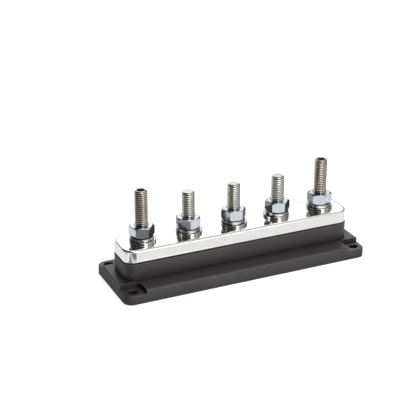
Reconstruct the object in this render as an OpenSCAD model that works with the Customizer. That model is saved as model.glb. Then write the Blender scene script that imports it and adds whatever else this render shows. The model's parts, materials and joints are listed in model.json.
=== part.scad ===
// Bus bar: a plated copper bar with a row of terminal studs, on a moulded insulating base.
// Millimetres, +Z up, +X along the bar, origin at the middle of the base's underside.

/* [Terminals] */
// Number of studs in the row
stud_count = 5; // [2:1:8]
// Distance from one stud to the next
stud_pitch = 38; // [32:0.5:60]
// Outside diameter of the studs' thread
stud_d = 10; // [8:0.5:11]
// Pitch of the studs' thread
thread_pitch = 1.5; // [1:0.25:2]
// Height of the middle studs above the bar
middle_stud_h = 33.3; // [20:0.1:60]
// Height of the two end studs above the bar
end_stud_h = 40.8; // [20:0.1:70]
// Diameter of the tapped hole in the top of each end stud
tap_d = 5; // [3:0.1:6]
// Depth of the tapped hole in the top of each end stud
tap_depth = 14; // [6:0.5:18]
// Width across the flats of the studs' heads
head_af = 17; // [14:0.5:19]
// Height of the studs' heads
head_h = 6.4; // [4:0.2:8]

/* [Nuts and washers] */
// Width across the flats of the nuts
nut_af = 17; // [15:0.5:19]
// Height of the nuts
nut_h = 8; // [5:0.5:10]
// Outside diameter of the flat washers
flat_od = 20.4; // [17:0.2:26]
// Thickness of the flat washers
flat_t = 2; // [1:0.1:3]
// Width of the spring washers' wire, seen from above
lock_w = 3.9; // [2.5:0.1:5]
// Thickness of the spring washers' wire
lock_t = 2.2; // [1.5:0.1:3]
// Rise of a spring washer from one end of its turn to the other
lock_rise = 0.7; // [0.2:0.1:1.5]
// Gap in a spring washer's turn, as an angle
lock_gap = 11; // [6:1:30]

/* [Bar] */
// Width of the bar
bar_w = 30.6; // [26:0.2:50]
// Thickness of the bar
bar_t = 11.1; // [5:0.1:16]
// Distance from an end stud's axis to the end of the bar
bar_end = 18.6; // [15:0.1:30]
// Radius of the bar's corners, seen from above
bar_corner_r = 8.5; // [3:0.1:12]
// Radius that softens the bar's edges
bar_edge_r = 1.6; // [0.4:0.1:2.5]

/* [Base] */
// Height of the pads under the mounting screws
pad_h = 7.2; // [4:0.1:9]
// Height of the ledge round the pedestal
ledge_h = 10.7; // [10:0.1:16]
// Height of the pedestal that carries the bar
pedestal_h = 23.6; // [20:0.1:40]
// How far the pedestal stands out past the bar, all round
pedestal_margin = 0.5; // [0.2:0.1:3]
// Width of the ledge along each long side
side_ledge_w = 16.6; // [13:0.1:25]
// Width of the ledge at each end
end_ledge_w = 6.55; // [6:0.05:15]
// Radius of the base's corners, seen from above
base_corner_r = 6.9; // [3:0.1:9]
// Radius that softens the outer top edges of the ledge
ledge_edge_r = 1.4; // [0.5:0.1:2.5]
// Slanted break on the outer top edges of the pads
pad_break = 0.7; // [0.3:0.1:1.5]
// Length of each corner notch, along the base
notch_l = 16.4; // [14:0.1:22]
// Width of each corner notch, across the base
notch_w = 14.6; // [11:0.1:16]
// Radius of each corner notch's inner corner
notch_r = 4.5; // [1:0.1:6]
// Diameter of the mounting holes
mount_hole_d = 7; // [4:0.1:8]
// Distance of the mounting holes from the ends of the base
mount_inset_l = 7.9; // [6:0.1:10]
// Distance of the mounting holes from the long sides of the base
mount_inset_w = 7.1; // [6:0.1:10]
// Thickness of the base's outer walls and of the ledge
wall_t = 3.2; // [2:0.1:4]
// Thickness of the deck between the studs' heads and the bar
deck_t = 6.5; // [4:0.1:9]
// Thickness of the ribs under the base
rib_t = 2.4; // [1.5:0.1:3]

/* [Clearances] */
// Gap between a stud and the holes in the bar and the base
stud_play = 0.25; // [0.1:0.05:0.5]
// Gap between a stud's thread and its nut
nut_play = 0.05; // [0.02:0.01:0.1]
// Gap between a stud and a flat washer's hole
flat_play = 0.75; // [0.1:0.05:0.9]
// Gap between a stud and a spring washer's hole
lock_play = 0.15; // [0.1:0.05:0.5]
// Gap between a stud's head and its pocket in the base
head_play = 0.2; // [0.1:0.05:0.5]
// Gap between a nut and the spring washer under it
seat_gap = 0.03; // [0.02:0.01:0.1]

/* [Hidden] */
$fn = 96;

// Angle of one corner of each nut as it is tightened, from +X
nut_turn = [42, 17, 50, 40, 29];
// Angle of the gap in each spring washer
lock_turn = [15, 80, 120, 45, 100];
// Way that each flat washer has slid on its stud
flat_slide = [-25, 20, -25, 160, 60];

// Depth of the studs' thread as a share of its pitch, and its flats in one turn
thread_form = 0.613;
thread_steps = 20;
// How far the thread's crests stay under the full diameter, and how far it starts below the bar's top
crest_cut = 0.02;
thread_sink = 1;
// Edge breaks on holes and on washers
hole_break = 0.5;
washer_break = 0.3;
// Wall round each head's pocket, and how far it stops short of the floor
boss_wall = 2.6;
boss_recess = 1;
// Corner radius of the hollows under the base
core_r = 1.5;
// Slope of a hexagon's turned corners, and its flat face's share of the width
hex_chamfer = 30;
hex_face = 0.95;
// How far a cut runs past its face
past = 1;

stud_r = stud_d / 2;
thread_depth = thread_form * thread_pitch;

bar_l = (stud_count - 1) * stud_pitch + 2 * bar_end;
pedestal_l = bar_l + 2 * pedestal_margin;
pedestal_w = bar_w + 2 * pedestal_margin;
pedestal_r = bar_corner_r + pedestal_margin;
base_l = pedestal_l + 2 * end_ledge_w;
base_w = pedestal_w + 2 * side_ledge_w;

// Levels, from the floor up
head_seat_z = pedestal_h - deck_t;
bar_top_z = pedestal_h + bar_t;
lock_z = bar_top_z + flat_t;
nut_z = lock_z + lock_t + lock_rise + seat_gap;

// Inner faces of the corner notches
notch_x = base_l / 2 - notch_l;
notch_y = base_w / 2 - notch_w;

STUDS = [1:stud_count];

function stud_x(i) = (i - (stud_count + 1) / 2) * stud_pitch;
function is_end(i) = i == 1 || i == stud_count;
function stud_top_z(i) = bar_top_z + (is_end(i) ? end_stud_h : middle_stud_h);
function pick(list, i) = list[(i - 1) % len(list)];

// Rectangle with round corners, flat
module rounded_rect(l, w, r) {
    square([l - 2 * r, w], center = true);
    square([l, w - 2 * r], center = true);
    for (x = [-1, 1], y = [-1, 1])
        translate([x * (l / 2 - r), y * (w / 2 - r)])
            circle(r);
}

// The same shape in each of the four corners of the plan
module four_corners() {
    for (x = [0, 1], y = [0, 1])
        mirror([x, 0, 0])
            mirror([0, y, 0])
                children();
}

// Flat shape led round the outline of a plate, its X outwards and its Y up
module led_round(l, w, r) {
    for (y = [0, 1])
        mirror([0, y, 0])
            translate([0, w / 2 - r, 0])
                rotate([90, 0, 90])
                    linear_extrude(l - 2 * r, center = true)
                        translate([r, 0])
                            children();
    for (x = [0, 1])
        mirror([x, 0, 0])
            translate([l / 2 - r, 0, 0])
                rotate([90, 0, 0])
                    linear_extrude(w - 2 * r, center = true)
                        translate([r, 0])
                            children();
    four_corners()
        translate([l / 2 - r, w / 2 - r, 0])
            rotate_extrude(angle = 90)
                translate([r, 0])
                    children();
}

// Plate with round corners in plan and all its top and bottom edges rolled over
module soft_plate(l, w, t, r, e) {
    linear_extrude(t)
        rounded_rect(l - 2 * e, w - 2 * e, r - e);
    translate([0, 0, e])
        linear_extrude(t - 2 * e)
            rounded_rect(l, w, r);
    for (z = [e, t - e])
        translate([0, 0, z])
            led_round(l, w, r)
                translate([-e, 0])
                    circle(e);
}

// Plate with round corners in plan and a slanted break on its top edges
module broken_plate(l, w, t, r, c) {
    linear_extrude(t)
        rounded_rect(l - 2 * c, w - 2 * c, r - c);
    linear_extrude(t - c)
        rounded_rect(l, w, r);
    translate([0, 0, t])
        led_round(l, w, r)
            polygon([[-c, -c], [0, -c], [-c, 0]]);
}

// Hexagonal block with its corners turned off at both ends
module turned_hex(af, h) {
    corner_r = af / sqrt(3);
    face_r = hex_face * af / 2;
    outer_r = corner_r + past;
    drop = (outer_r - face_r) * tan(hex_chamfer);
    intersection() {
        cylinder(r = corner_r, h = h, $fn = 6);
        rotate_extrude()
            polygon([
                [0, 0], [face_r, 0], [outer_r, drop],
                [outer_r, h - drop], [face_r, h], [0, h]
            ]);
    }
}

// Cone that breaks the edge of a hole, wide end at the top
module edge_break(d, c) {
    translate([0, 0, -c])
        cylinder(d1 = d, d2 = d + 2 * c, h = c);
    cylinder(d = d + 2 * c, h = past);
}

// Cut that leaves a corner of the base at pad height
module corner_notch() {
    translate([notch_x, notch_y, -past])
        linear_extrude(ledge_h + 2 * past) {
            translate([notch_r, 0])
                square([notch_l, notch_w + past]);
            translate([0, notch_r])
                square([notch_l + past, notch_w]);
            translate([notch_r, notch_r])
                circle(notch_r);
        }
}

// Wedge that rolls a top edge of the ledge over, at a distance from the middle and of a given length
module ledge_roll(reach, length) {
    translate([0, reach, ledge_h])
        rotate([90, 0, 90])
            linear_extrude(length, center = true)
                translate([-ledge_edge_r, -ledge_edge_r])
                    difference() {
                        square(ledge_edge_r + past);
                        circle(ledge_edge_r);
                    }
}

// The ledge all round the pedestal, without its corners
module ledge() {
    difference() {
        linear_extrude(ledge_h)
            rounded_rect(base_l, base_w, base_corner_r);
        four_corners()
            corner_notch();
        for (turn = [0, 180])
            rotate(turn) {
                ledge_roll(base_w / 2, 2 * notch_x + past);
                rotate(90)
                    ledge_roll(base_l / 2, 2 * notch_y + past);
            }
    }
}

// Hollow under the base between two faces along X and two across, with rounded corners
module core(x0, x1, y0, y1, h) {
    l = x1 - x0;
    w = y1 - y0;
    translate([x0 + l / 2, y0 + w / 2, -past])
        linear_extrude(h + past)
            rounded_rect(l, w, min(core_r, l / 4, w / 4));
}

// Hollows under the long ledges, one for each stud, parted by ribs
module side_cores() {
    reach = notch_x - wall_t;
    half = (stud_pitch - rib_t) / 2;
    for (y = [0, 1], i = STUDS)
        mirror([0, y, 0])
            core(
                i == 1 ? -reach : stud_x(i) - half,
                i == stud_count ? reach : stud_x(i) + half,
                pedestal_w / 2, base_w / 2 - wall_t, ledge_h - wall_t
            );
}

// Hollows under the ledges at the two ends
module end_cores() {
    reach = notch_y - wall_t;
    for (x = [0, 1])
        mirror([x, 0, 0])
            core(pedestal_l / 2, base_l / 2 - wall_t, -reach, reach, ledge_h - wall_t);
}

// Hollows inside the pedestal round the bosses that take the studs' heads
module pedestal_cores() {
    reach = pedestal_l / 2 - wall_t;
    half = (stud_pitch - rib_t) / 2;
    inner = pedestal_w / 2 - wall_t;
    boss_d = (head_af + 2 * head_play) * 2 / sqrt(3) + 2 * boss_wall;
    difference() {
        for (i = STUDS)
            core(
                i == 1 ? -reach : stud_x(i) - half,
                i == stud_count ? reach : stud_x(i) + half,
                -inner, inner, head_seat_z
            );
        for (i = STUDS)
            translate([stud_x(i), 0, boss_recess])
                cylinder(d = boss_d, h = head_seat_z);
    }
}

// Hole for a stud, with the hexagonal pocket that keeps its head from turning
module stud_hole() {
    translate([0, 0, -past])
        cylinder(d = stud_d + 2 * stud_play, h = pedestal_h + 2 * past);
    translate([0, 0, -past])
        cylinder(r = (head_af + 2 * head_play) / sqrt(3), h = head_seat_z + past, $fn = 6);
}

// Hole for a mounting screw, through the pad in a corner notch
module mount_hole() {
    translate([base_l / 2 - mount_inset_l, base_w / 2 - mount_inset_w, 0]) {
        translate([0, 0, -past])
            cylinder(d = mount_hole_d, h = pad_h + 2 * past);
        translate([0, 0, pad_h])
            edge_break(mount_hole_d, hole_break);
    }
}

module base() {
    color("#343338")
        difference() {
            union() {
                broken_plate(base_l, base_w, pad_h, base_corner_r, pad_break);
                ledge();
                linear_extrude(pedestal_h)
                    rounded_rect(pedestal_l, pedestal_w, pedestal_r);
            }
            side_cores();
            end_cores();
            pedestal_cores();
            for (i = STUDS)
                translate([stud_x(i), 0, 0])
                    stud_hole();
            four_corners()
                mount_hole();
        }
}

module bus_bar() {
    color("#e6e6e4")
        translate([0, 0, pedestal_h])
            difference() {
                soft_plate(bar_l, bar_w, bar_t, bar_corner_r, bar_edge_r);
                for (i = STUDS)
                    translate([stud_x(i), 0, -past])
                        cylinder(d = stud_d + 2 * stud_play, h = bar_t + 2 * past);
            }
}

// Screw thread from one height to another, its roots and crests led up side by side in one helix
module thread(z0, z1) {
    last = thread_steps * ceil((z1 - z0) / thread_pitch);
    foot = 2 * last + 2;
    tip = foot + 1;
    function root(i) = 2 * i;
    function crest(i) = 2 * i + 1;
    function led_up(r, i, lift) =
        let (a = 360 * i / thread_steps)
        [r * cos(a), r * sin(a), z0 + thread_pitch * i / thread_steps + lift];
    points = concat(
        [for (i = [0:last]) each [
            led_up(stud_r - thread_depth, i, 0),
            led_up(stud_r - crest_cut, i, thread_pitch / 2)
        ]],
        [[0, 0, z0 + thread_pitch / 2], [0, 0, z1]]
    );
    lower_flank = [for (i = [0:last - 1]) each [
        [root(i), crest(i), root(i + 1)],
        [crest(i), crest(i + 1), root(i + 1)]
    ]];
    upper_flank = [for (i = [0:last - thread_steps - 1])
        let (up = i + thread_steps)
        each [
            [crest(i), root(up), crest(i + 1)],
            [root(up), root(up + 1), crest(i + 1)]
        ]];
    foot_cap = concat(
        [for (i = [0:thread_steps - 1]) [foot, root(i), root(i + 1)]],
        [[foot, root(thread_steps), crest(0)], [foot, crest(0), root(0)]]
    );
    tip_cap = concat(
        [for (i = [last - thread_steps:last - 1]) [tip, crest(i + 1), crest(i)]],
        [[tip, crest(last - thread_steps), root(last)], [tip, root(last), crest(last)]]
    );
    polyhedron(points, concat(lower_flank, upper_flank, foot_cap, tip_cap));
}

// Bolt that stands head down in the base; the end ones are tapped to take a cover's screw
module stud(i) {
    top = stud_top_z(i);
    start = bar_top_z - thread_sink;
    shank_z = head_seat_z - head_h / 2;
    color("#b5ab9c")
        translate([stud_x(i), 0, 0])
            difference() {
                union() {
                    translate([0, 0, head_seat_z - head_h])
                        turned_hex(head_af, head_h);
                    translate([0, 0, shank_z])
                        cylinder(r = stud_r, h = start - shank_z);
                    intersection() {
                        thread(start - 2 * thread_pitch, top + 2 * thread_pitch);
                        rotate_extrude()
                            polygon([
                                [0, start - past], [stud_r + past, start - past],
                                [stud_r + past, top - thread_depth - past],
                                [stud_r - thread_depth, top], [0, top]
                            ]);
                    }
                }
                if (is_end(i))
                    translate([0, 0, top]) {
                        translate([0, 0, -tap_depth])
                            cylinder(d = tap_d, h = tap_depth + past);
                        edge_break(tap_d, hole_break);
                    }
            }
}

// Punched ring, loose on its stud, so it has slid to one side
module flat_washer(i) {
    inner_r = stud_r + flat_play;
    outer_r = flat_od / 2;
    c = washer_break;
    slide = flat_play - nut_play;
    color("#b9b1a4")
        translate([stud_x(i), 0, bar_top_z])
            rotate(pick(flat_slide, i))
                translate([slide, 0, 0])
                    rotate_extrude()
                        polygon([
                            [inner_r, 0], [outer_r - c, 0], [outer_r, c],
                            [outer_r, flat_t - c], [outer_r - c, flat_t], [inner_r, flat_t]
                        ]);
}

// One turn of square wire that climbs from one end to the other, with its ends cut on the slant
module lock_washer(i) {
    inner_r = stud_r + lock_play;
    outer_r = inner_r + lock_w;
    steps = 60;
    slant = lock_t / outer_r * 90 / PI;
    function corner(r, a, z) = [r * cos(a), r * sin(a), z];
    function section(s) =
        let (a = lock_gap / 2 + (360 - lock_gap) * s, z = lock_rise * (1 - s))
        [
            corner(inner_r, a + slant, z), corner(outer_r, a + slant, z),
            corner(outer_r, a - slant, z + lock_t), corner(inner_r, a - slant, z + lock_t)
        ];
    points = [for (k = [0:steps]) each section(k / steps)];
    sides = [for (k = [0:steps - 1], j = [0:3])
        let (n = (j + 1) % 4)
        [4 * k + j, 4 * k + n, 4 * k + 4 + n, 4 * k + 4 + j]];
    color("#a8a195")
        translate([stud_x(i), 0, lock_z])
            rotate(pick(lock_turn, i))
                polyhedron(
                    points,
                    concat([[3, 2, 1, 0]], sides, [[for (j = [0:3]) 4 * steps + j]])
                );
}

module nut(i) {
    bore_d = stud_d + 2 * nut_play;
    color("#c3cad2")
        translate([stud_x(i), 0, nut_z])
            rotate(pick(nut_turn, i))
                difference() {
                    turned_hex(nut_af, nut_h);
                    translate([0, 0, -past])
                        cylinder(d = bore_d, h = nut_h + 2 * past);
                    translate([0, 0, nut_h])
                        edge_break(bore_d, hole_break);
                    mirror([0, 0, 1])
                        edge_break(bore_d, hole_break);
                }
}

base();
bus_bar();
for (i = STUDS) {
    stud(i);
    flat_washer(i);
    lock_washer(i);
    nut(i);
}
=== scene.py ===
"""Looks of the bus bar: threads, finishes, floor, light and camera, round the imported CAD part."""
import json
import math

import bmesh
import bpy
from mathutils import Matrix, Vector

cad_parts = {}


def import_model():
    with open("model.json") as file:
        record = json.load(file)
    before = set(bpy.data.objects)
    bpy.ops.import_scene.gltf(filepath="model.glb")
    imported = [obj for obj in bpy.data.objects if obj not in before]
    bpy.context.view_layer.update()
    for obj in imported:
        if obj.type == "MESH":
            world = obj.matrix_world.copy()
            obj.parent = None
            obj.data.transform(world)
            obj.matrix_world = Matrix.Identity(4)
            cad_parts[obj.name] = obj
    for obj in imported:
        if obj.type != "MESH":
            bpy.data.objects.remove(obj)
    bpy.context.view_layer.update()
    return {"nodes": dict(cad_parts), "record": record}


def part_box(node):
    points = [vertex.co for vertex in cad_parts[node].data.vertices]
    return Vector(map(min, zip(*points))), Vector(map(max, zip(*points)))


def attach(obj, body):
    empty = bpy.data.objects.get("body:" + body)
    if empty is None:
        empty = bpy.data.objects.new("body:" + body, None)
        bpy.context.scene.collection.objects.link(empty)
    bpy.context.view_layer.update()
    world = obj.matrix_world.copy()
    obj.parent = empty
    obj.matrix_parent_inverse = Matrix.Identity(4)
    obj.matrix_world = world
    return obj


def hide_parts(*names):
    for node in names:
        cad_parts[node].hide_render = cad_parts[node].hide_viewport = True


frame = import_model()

# Sizes read from the frame, in metres
NUMBERS = range(1, 6)
END_STUDS = (1, 5)
MOUNTS = {m["name"]: m for m in frame["record"]["mounts"]}
STUD_R = MOUNTS["lug_studs"]["dims"]["r_mm"] / 1000
TAP_R = MOUNTS["cover_screw_1"]["dims"]["r_mm"] / 1000
LEAD = frame["record"]["behaviour"]["couplings"][0]["ratio"] * 2 * math.pi
BAR_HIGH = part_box("bus_bar")[1]

# Metric thread form: depths and flats are shares of the lead
TURN_STEPS = 64
ROOT_FLAT = 0.25
CREST_FLAT = 0.125
FLANK = 0.3125
THREAD_DEPTH = 0.613 * LEAD
TAP_LEAD = 0.001
TAP_THREAD_DEPTH = 0.541 * TAP_LEAD
# Turns below its low end at which a helix starts, which puts it in step with the thread of the CAD studs
START_TURNS = 1.125
# The thread starts this far below the bar's top, and a chamfer at its end goes this far past its root
THREAD_SINK = 0.001
CHAMFER_PAST = 0.0001
# Tapped hole: its depth, and how much of it at the bottom has no thread
TAP_DEPTH = 0.014
TAP_BLANK = 0.002
# Points nearer than this are one, and edges or heights below this are none
WELD = 2e-6
TINY = 1e-6

# Stud's head
HEAD_H = 0.0064
HEAD_AF = 0.017
HEAD_FACE = 0.95
HEAD_CHAMFER = math.radians(30)

# Plastic: darkest and palest colour, and colour of a painted highlight along an edge
PLASTIC_DARK = (0.0394, 0.0340, 0.0367)
PLASTIC_PALE = (0.0452, 0.0390, 0.0421)
PLASTIC_PAINTED_HIGHLIGHT = (0.165, 0.15, 0.157, 1)
# How far off a corner or an edge is felt, and stops from how open it is to its painted shade or painted
# highlight
CORNER_REACH = 0.008
CORNER_PAINTED_SHADE = [(0.2, 0.15), (0.5, 0.2), (0.95, 1.0)]
EDGE_REACH = 0.0012
EDGE_PAINTED_HIGHLIGHT = [(0.55, 0.5), (0.90, 0.0)]
# Stops from the height on a thread, 0 at its root and 1 at its crest, to the painted shade in its roots
THREAD_PAINTED_SHADE = [(0.0, 0.25), (0.7, 1.0)]

# Light: level of the dim room, and of its ceiling, which rises between two elevations
ROOM_LEVEL = 0.06
TOP_LEVEL = 0.74
TOP_RISE = (71.7, 87.7)
# Soft boxes: azimuth, elevation, half width, half height and softness in degrees, then level
SOFT_BOXES = [
    (63.6, 39.8, 25.5, 10.5, 8.9, 2.80),
    (62.0, 28.5, 18.0, 7.0, 1.5, 0.85),
    (-84.0, 29.0, 11.0, 33.0, 7.9, 3.80),
    (-95.5, 76.7, 43.8, 10.3, 9.7, 2.43),
    (-6.6, 53.4, 33.3, 27.8, 9.7, 0.59),
    (-52.0, 26.0, 16.0, 34.0, 9.0, 0.60),
    (100.0, 14.0, 17.0, 20.0, 6.0, 0.62),
]
# Floor: half its side, its colour, and the glow that makes it white for the camera
FLOOR_HALF = 6
FLOOR_COLOUR = (0.8, 0.8, 0.8, 1)
FLOOR_GLOW = 0.7
# How bright reflections see the floor, and patches of painted light and painted shadow on it, which only
# reflections see; the dark ones by the part are its painted shadow: middle, half size and softness in metres,
# then level.
# A later patch covers an earlier one.
FLOOR_LEVEL = 0.86
FLOOR_PAINTED_PATCHES = [
    ((0.03, -0.26), (0.10, 0.125), 0.020, 3.20),
    ((-0.1135, -0.118), (0.0415, 0.049), 0.006, 0.20),
    ((-0.1215, -0.0295), (0.0165, 0.0145), 0.004, 0.10),
    ((-0.126, -0.0545), (0.0135, 0.0075), 0.002, 0.20),
    ((-0.232, 0.0), (0.07, 0.12), 0.010, 0.15),
    ((0.0, 0.085), (0.10, 0.045), 0.020, 0.32),
    ((0.33, 0.38), (0.22, 0.26), 0.050, 0.15),
    ((0.0, 0.0), (0.113, 0.040), 0.008, 0.32),
    ((-0.039, -0.056), (0.039, 0.005), 0.004, 2.20),
]

# Camera, fitted to the photograph
PHOTO_PX = 400
FOCAL_PX = 1147.22
SENSOR = 36.0
CAMERA_AT = Vector((-0.3583, -0.7234, 0.4003))
CAMERA_AZIMUTH = math.radians(-24.5275)
CAMERA_ELEVATION = math.radians(23.2328)
# Level directions in the picture: to the right, and away from the camera
TO_RIGHT = Vector((math.cos(CAMERA_AZIMUTH), math.sin(CAMERA_AZIMUTH), 0))
TO_BACK = Vector((-math.sin(CAMERA_AZIMUTH), math.cos(CAMERA_AZIMUTH), 0))


def new_object(name, mesh):
    """Puts a mesh into the scene."""
    obj = bpy.data.objects.new(name, mesh)
    bpy.context.scene.collection.objects.link(obj)
    return obj


def ring(bm, radius, z):
    """One circle of vertices; radius and z are numbers or functions of the angle."""
    verts = []
    for i in range(TURN_STEPS):
        a = 2 * math.pi * i / TURN_STEPS
        r = radius(a) if callable(radius) else radius
        h = z(a) if callable(z) else z
        verts.append(bm.verts.new((r * math.cos(a), r * math.sin(a), h)))
    return verts


def bridge(bm, low, high):
    """Faces between two circles."""
    n = len(low)
    for i in range(n):
        k = (i + 1) % n
        bm.faces.new((low[i], low[k], high[k], high[i]))


def helix(bm, lead, profile, z_low, z_high, limit):
    """Helical surface that repeats a profile each lead, from z_low to z_high.

    profile is a list of (radius, height as a share of the lead); limit(radius, z) trims the radius.
    Points past an end are pulled onto it, where limit gives every angle the same radius.
    """
    turns = math.ceil((z_high - z_low) / lead) + 2
    start = z_low - START_TURNS * lead
    rows = []
    for i in range(turns * TURN_STEPS + 1):
        a = 2 * math.pi * i / TURN_STEPS
        climb = start + lead * i / TURN_STEPS
        row = []
        for radius, share in profile:
            z = min(max(climb + lead * share, z_low), z_high)
            r = limit(radius, z)
            row.append(bm.verts.new((r * math.cos(a), r * math.sin(a), z)))
        rows.append(row)
    count = len(profile)
    for i in range(len(rows) - 1):
        for j in range(count - 1):
            bm.faces.new((rows[i][j], rows[i + 1][j], rows[i + 1][j + 1], rows[i][j + 1]))
        if i + 1 + TURN_STEPS < len(rows):
            up, up_next = rows[i + TURN_STEPS][0], rows[i + 1 + TURN_STEPS][0]
            bm.faces.new((rows[i][-1], rows[i + 1][-1], up_next, up))


def thread_profile(first_r, first_flat, second_r, second_flat):
    """One lead of a thread: flat, flank and flat; the helix adds the flank back to the next turn."""
    flank_end = first_flat + FLANK
    return [(first_r, 0), (first_r, first_flat), (second_r, flank_end), (second_r, flank_end + second_flat)]


def hex_radius(a):
    """Distance from the axis to a hexagon's side, at an angle from one of its corners."""
    sixth = math.pi / 3
    return HEAD_AF / 2 / math.cos((a % sixth) - sixth / 2)


def threaded_stud(n):
    """A stud with its hexagonal head and a real thread, and a tapped hole in the end ones."""
    low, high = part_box(f"stud_{n}")
    tapped = n in END_STUDS
    bm = bmesh.new()
    face_r = HEAD_FACE * HEAD_AF / 2

    def drop(a):
        return max(0, hex_radius(a) - face_r) * math.tan(HEAD_CHAMFER)

    head_top = low.z + HEAD_H
    run_out = BAR_HIGH.z - THREAD_SINK
    crest = STUD_R
    root = STUD_R - THREAD_DEPTH
    tip = root - CHAMFER_PAST
    circles = [
        ring(bm, face_r, low.z),
        ring(bm, hex_radius, lambda a: low.z + drop(a)),
        ring(bm, hex_radius, lambda a: head_top - drop(a)),
        ring(bm, face_r, head_top),
        ring(bm, crest, head_top),
        ring(bm, crest, run_out),
    ]
    bm.faces.new(reversed(circles[0]))
    for a, b in zip(circles, circles[1:]):
        bridge(bm, a, b)

    def trim(r, z):
        if z <= run_out:
            return crest
        return min(r, tip + (high.z - z))

    outside = thread_profile(root, ROOT_FLAT, crest, CREST_FLAT)
    helix(bm, LEAD, outside, run_out, high.z, trim)

    if not tapped:
        bm.faces.new(ring(bm, tip, high.z))
    else:
        tap_root = TAP_R + TAP_THREAD_DEPTH
        mouth = tap_root + CHAMFER_PAST
        bridge(bm, ring(bm, tip, high.z), ring(bm, mouth, high.z))
        tap_end = high.z - TAP_DEPTH + TAP_BLANK

        def widen(r, z):
            if z <= tap_end:
                return TAP_R
            return max(r, mouth - (high.z - z))

        inside = thread_profile(tap_root, CREST_FLAT, TAP_R, ROOT_FLAT)
        before = set(bm.faces)
        helix(bm, TAP_LEAD, inside, tap_end, high.z, widen)
        bmesh.ops.reverse_faces(bm, faces=[f for f in bm.faces if f not in before])
        bottom = ring(bm, TAP_R, high.z - TAP_DEPTH)
        bridge(bm, ring(bm, TAP_R, tap_end), bottom)
        bm.faces.new(bottom)

    # thread_height carries the painted shade of the thread's roots; shank, head and end faces get 1, no painted
    # shade
    height = bm.verts.layers.float.new("thread_height")
    for v in bm.verts:
        threaded = run_out < v.co.z < high.z - TINY
        v[height] = (math.hypot(v.co.x, v.co.y) - root) / THREAD_DEPTH if threaded else 1
    bmesh.ops.remove_doubles(bm, verts=bm.verts, dist=WELD)
    bmesh.ops.dissolve_degenerate(bm, edges=bm.edges, dist=TINY)
    bmesh.ops.recalc_face_normals(bm, faces=bm.faces)
    centre = (low + high) / 2
    bmesh.ops.translate(bm, verts=bm.verts, vec=(centre.x, centre.y, 0))
    mesh = bpy.data.meshes.new(f"threaded_stud_{n}")
    bm.to_mesh(mesh)
    bm.free()
    stud = new_object(f"threaded_stud_{n}", mesh)
    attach(stud, "base")
    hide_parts(f"stud_{n}")
    return stud


# Materials
def material(name):
    """A new node material with its shader and output; returns the material, its tree and its shader."""
    mat = bpy.data.materials.new(name)
    mat.use_nodes = True
    tree = mat.node_tree
    return mat, tree, tree.nodes["Principled BSDF"]


def add(tree, kind, **settings):
    """A new node; settings are its properties, or its inputs when the name starts with in_."""
    node = tree.nodes.new(kind)
    for key, value in settings.items():
        if key.startswith("in_"):
            node.inputs[key[3:].replace("_", " ")].default_value = value
        else:
            setattr(node, key, value)
    return node


def noise(tree, scale, detail=4.0):
    """Noise in the object's own metres."""
    coords = add(tree, "ShaderNodeTexCoord")
    texture = add(tree, "ShaderNodeTexNoise", in_Scale=scale, in_Detail=detail)
    tree.links.new(coords.outputs["Object"], texture.inputs["Vector"])
    return texture.outputs["Fac"]


def ramp(tree, source, stops):
    """Colour ramp; stops are (place, value), where a value is a number or a colour."""
    node = add(tree, "ShaderNodeValToRGB")
    elements = node.color_ramp.elements
    while len(elements) < len(stops):
        elements.new(0.5)
    for element, (place, value) in zip(elements, stops):
        element.position = place
        rgb = value if isinstance(value, tuple) else (value, value, value)
        element.color = (*rgb, 1)
    tree.links.new(source, node.inputs["Fac"])
    return node.outputs["Color"]


def multiply(tree, a, b):
    """The product of two colours."""
    mix = add(tree, "ShaderNodeMix", data_type="RGBA", blend_type="MULTIPLY", in_Factor=1.0)
    tree.links.new(a, mix.inputs["A"])
    tree.links.new(b, mix.inputs["B"])
    return mix.outputs["Result"]


def bump(tree, shader, height, distance, strength):
    """Fine relief on a shader's surface."""
    node = add(tree, "ShaderNodeBump", in_Distance=distance, in_Strength=strength)
    tree.links.new(height, node.inputs["Height"])
    tree.links.new(node.outputs["Normal"], shader.inputs["Normal"])


def openness(tree, distance, inside=False):
    """1 on an open face, and less in a corner or a hollow; inside, less along an edge."""
    node = add(tree, "ShaderNodeAmbientOcclusion", inside=inside, only_local=True, samples=16)
    node.inputs["Distance"].default_value = distance
    return node.outputs["AO"]


def plastic():
    """Dark moulded plastic with a fine grain, with painted shade in its corners and a painted highlight along
    its edges.
    """
    mat, tree, shader = material("moulded_plastic")
    tint = ramp(tree, noise(tree, 60), [(0.3, PLASTIC_DARK), (0.7, PLASTIC_PALE)])
    # painted shade: the colour is darkened in corners, creases and hollows
    shade = ramp(tree, openness(tree, CORNER_REACH), CORNER_PAINTED_SHADE)
    # painted highlight: the colour is paled towards a lighter one along the edges
    edge = ramp(tree, openness(tree, EDGE_REACH, inside=True), EDGE_PAINTED_HIGHLIGHT)
    lit_edge = add(tree, "ShaderNodeMix", data_type="RGBA")
    tree.links.new(edge, lit_edge.inputs["Factor"])
    tree.links.new(multiply(tree, tint, shade), lit_edge.inputs["A"])
    lit_edge.inputs["B"].default_value = PLASTIC_PAINTED_HIGHLIGHT
    tree.links.new(lit_edge.outputs["Result"], shader.inputs["Base Color"])
    rough = ramp(tree, noise(tree, 900), [(0.3, 0.40), (0.7, 0.50)])
    tree.links.new(rough, shader.inputs["Roughness"])
    shader.inputs["Specular IOR Level"].default_value = 0.8
    bump(tree, shader, noise(tree, 2500, 3), 0.00004, 0.5)
    return mat


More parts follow.
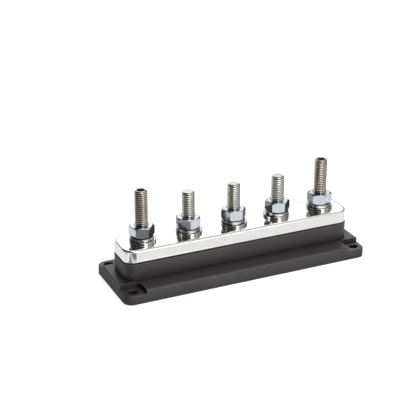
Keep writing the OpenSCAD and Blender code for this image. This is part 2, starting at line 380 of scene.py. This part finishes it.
def metal(name, dark, light, rough_low, rough_high, grain_depth):
    """Metal whose colour and roughness vary a little, with a fine grain."""
    mat, tree, shader = material(name)
    shader.inputs["Metallic"].default_value = 1
    tint = ramp(tree, noise(tree, 140), [(0.35, dark), (0.65, light)])
    tree.links.new(tint, shader.inputs["Base Color"])
    rough = ramp(tree, noise(tree, 500), [(0.3, rough_low), (0.7, rough_high)])
    tree.links.new(rough, shader.inputs["Roughness"])
    bump(tree, shader, noise(tree, 900, 3), grain_depth, 0.4)
    return mat


def steel_thread(name, dark, light):
    """Stainless steel with painted shade in the roots of a thread."""
    mat = metal(name, dark, light, 0.12, 0.18, 0.000004)
    tree = mat.node_tree
    colour = tree.nodes["Principled BSDF"].inputs["Base Color"]
    plain = colour.links[0].from_socket
    height = add(tree, "ShaderNodeAttribute", attribute_name="thread_height")
    shade = ramp(tree, height.outputs["Fac"], THREAD_PAINTED_SHADE)
    tree.links.new(multiply(tree, plain, shade), colour)
    return mat


def dress(obj, mat, bevel=0.0, angle=30):
    """Gives a piece its material, smooth shading with sharp edges kept, and softened edges."""
    obj.data.materials.clear()
    obj.data.materials.append(mat)
    obj.data.shade_smooth()
    if bevel:
        soft = obj.modifiers.new("soft_edges", "BEVEL")
        soft.width = bevel
        soft.segments = 3
        soft.limit_method = "ANGLE"
        soft.angle_limit = math.radians(angle)
        soft.harden_normals = True
    else:
        split = obj.modifiers.new("sharp_edges", "EDGE_SPLIT")
        split.split_angle = math.radians(angle)


nodes = frame["nodes"]
dress(nodes["base"], plastic(), bevel=0.0006)
plate = metal("bright_plate", (0.90, 0.90, 0.89), (0.93, 0.93, 0.92), 0.05, 0.08, 0.000004)
dress(nodes["bus_bar"], plate)
zinc = metal("zinc_plate", (0.66, 0.725, 0.775), (0.72, 0.785, 0.835), 0.07, 0.12, 0.000006)
warm_steel = steel_thread("warm_stainless", (0.71, 0.65, 0.58), (0.79, 0.73, 0.65))
pale_steel = steel_thread("pale_stainless", (0.84, 0.83, 0.77), (0.90, 0.89, 0.84))
washer_steel = metal("washer_stainless", (0.52, 0.50, 0.45), (0.60, 0.58, 0.53), 0.12, 0.18, 0.000006)
for n in NUMBERS:
    dress(nodes[f"nut_{n}"], zinc, bevel=0.0002)
    dress(nodes[f"flat_washer_{n}"], washer_steel, bevel=0.0001)
    dress(nodes[f"lock_washer_{n}"], washer_steel, bevel=0.0002)
    dress(threaded_stud(n), warm_steel if n in END_STUDS else pale_steel)


# Floor, light and camera
def value_of(tree, source, operation, *others):
    """A maths node on a source; the other inputs are numbers or outputs of nodes."""
    node = add(tree, "ShaderNodeMath", operation=operation)
    for socket, value in zip(node.inputs, (source, *others)):
        if isinstance(value, bpy.types.NodeSocket):
            tree.links.new(value, socket)
        else:
            socket.default_value = value
    return node.outputs[0]


def fade(tree, source, start, end, low=0.0, high=1.0):
    """Smooth change from low to high as the source goes from start to end."""
    node = add(tree, "ShaderNodeMapRange", interpolation_type="SMOOTHSTEP")
    for name, value in (("From Min", start), ("From Max", end), ("To Min", low), ("To Max", high)):
        node.inputs[name].default_value = value
    tree.links.new(source, node.inputs["Value"])
    return node.outputs["Result"]


def window(tree, source, middle, half, soft):
    """1 within half of the middle, falling softly to 0 outside."""
    away = value_of(tree, value_of(tree, source, "SUBTRACT", middle), "ABSOLUTE")
    return fade(tree, away, half + soft, half - soft)


def floor():
    """A white floor with the part's shadow; reflections see painted light and painted shadow on it, in bright
    and dark patches.
    """
    mesh = bpy.data.meshes.new("floor")
    bm = bmesh.new()
    bmesh.ops.create_grid(bm, x_segments=1, y_segments=1, size=FLOOR_HALF)
    bm.to_mesh(mesh)
    bm.free()
    plane = new_object("floor", mesh)
    mat, tree, shader = material("pale_floor")
    shader.inputs["Base Color"].default_value = FLOOR_COLOUR
    shader.inputs["Roughness"].default_value = 0.9
    shader.inputs["Specular IOR Level"].default_value = 0
    shader.inputs["Emission Color"].default_value = (1, 1, 1, 1)
    path = add(tree, "ShaderNodeLightPath")
    glow = value_of(tree, path.outputs["Is Camera Ray"], "MULTIPLY", FLOOR_GLOW)
    tree.links.new(glow, shader.inputs["Emission Strength"])
    coords = add(tree, "ShaderNodeTexCoord")
    split = add(tree, "ShaderNodeSeparateXYZ")
    tree.links.new(coords.outputs["Object"], split.inputs[0])
    x, y = split.outputs["X"], split.outputs["Y"]
    # painted light and painted shadow: the floor's brightness in reflections, set patch by patch
    bright = FLOOR_LEVEL
    for (patch_x, patch_y), (half_x, half_y), soft, level in FLOOR_PAINTED_PATCHES:
        across = window(tree, x, patch_x, half_x, soft)
        along = window(tree, y, patch_y, half_y, soft)
        shape = value_of(tree, across, "MULTIPLY", along)
        share = add(tree, "ShaderNodeMix", data_type="FLOAT", in_B=level)
        tree.links.new(shape, share.inputs["Factor"])
        if isinstance(bright, float):
            share.inputs["A"].default_value = bright
        else:
            tree.links.new(bright, share.inputs["A"])
        bright = share.outputs["Result"]
    seen = add(tree, "ShaderNodeEmission")
    tree.links.new(bright, seen.inputs["Strength"])
    mix = add(tree, "ShaderNodeMixShader")
    tree.links.new(path.outputs["Is Glossy Ray"], mix.inputs[0])
    tree.links.new(shader.outputs[0], mix.inputs[1])
    tree.links.new(seen.outputs[0], mix.inputs[2])
    tree.links.new(mix.outputs[0], tree.nodes["Material Output"].inputs["Surface"])
    mesh.materials.append(mat)


def world():
    """A white backdrop for the camera, and a dim room with soft boxes that lights the part."""
    space = bpy.data.worlds.new("studio")
    bpy.context.scene.world = space
    space.use_nodes = True
    tree = space.node_tree
    coords = add(tree, "ShaderNodeTexCoord")
    split = add(tree, "ShaderNodeSeparateXYZ")
    tree.links.new(coords.outputs["Generated"], split.inputs[0])
    azimuth = value_of(tree, split.outputs["Y"], "ARCTAN2", split.outputs["X"])
    elevation = value_of(tree, split.outputs["Z"], "ARCSINE")
    light = fade(tree, elevation, *map(math.radians, TOP_RISE), ROOM_LEVEL, ROOM_LEVEL + TOP_LEVEL)
    for across, up, half_width, half_height, soft, level in SOFT_BOXES:
        turn = value_of(tree, azimuth, "SUBTRACT", math.radians(across))
        turn = value_of(tree, turn, "WRAP", math.pi, -math.pi)
        wide = window(tree, turn, 0.0, math.radians(half_width), math.radians(soft))
        high = window(tree, elevation, math.radians(up), math.radians(half_height), math.radians(soft))
        shape = value_of(tree, wide, "MULTIPLY", high)
        light = value_of(tree, shape, "MULTIPLY_ADD", level, light)
    path = add(tree, "ShaderNodeLightPath")
    white = add(tree, "ShaderNodeMix", data_type="FLOAT")
    tree.links.new(path.outputs["Is Camera Ray"], white.inputs["Factor"])
    tree.links.new(light, white.inputs["A"])
    white.inputs["B"].default_value = 1
    back = tree.nodes["Background"]
    back.inputs["Color"].default_value = (1, 1, 1, 1)
    tree.links.new(white.outputs["Result"], back.inputs["Strength"])


def camera():
    """The photograph's camera."""
    data = bpy.data.cameras.new("camera")
    data.sensor_width = SENSOR
    data.lens = FOCAL_PX / PHOTO_PX * SENSOR
    obj = bpy.data.objects.new("camera", data)
    e = CAMERA_ELEVATION
    ahead = TO_BACK * math.cos(e) - Vector((0, 0, math.sin(e)))
    turn = Matrix((TO_RIGHT, TO_RIGHT.cross(ahead), -ahead)).transposed()
    obj.matrix_world = Matrix.Translation(CAMERA_AT) @ turn.to_4x4()
    bpy.context.scene.collection.objects.link(obj)
    bpy.context.scene.camera = obj


floor()
world()
camera()
bpy.context.scene.view_settings.view_transform = "Standard"
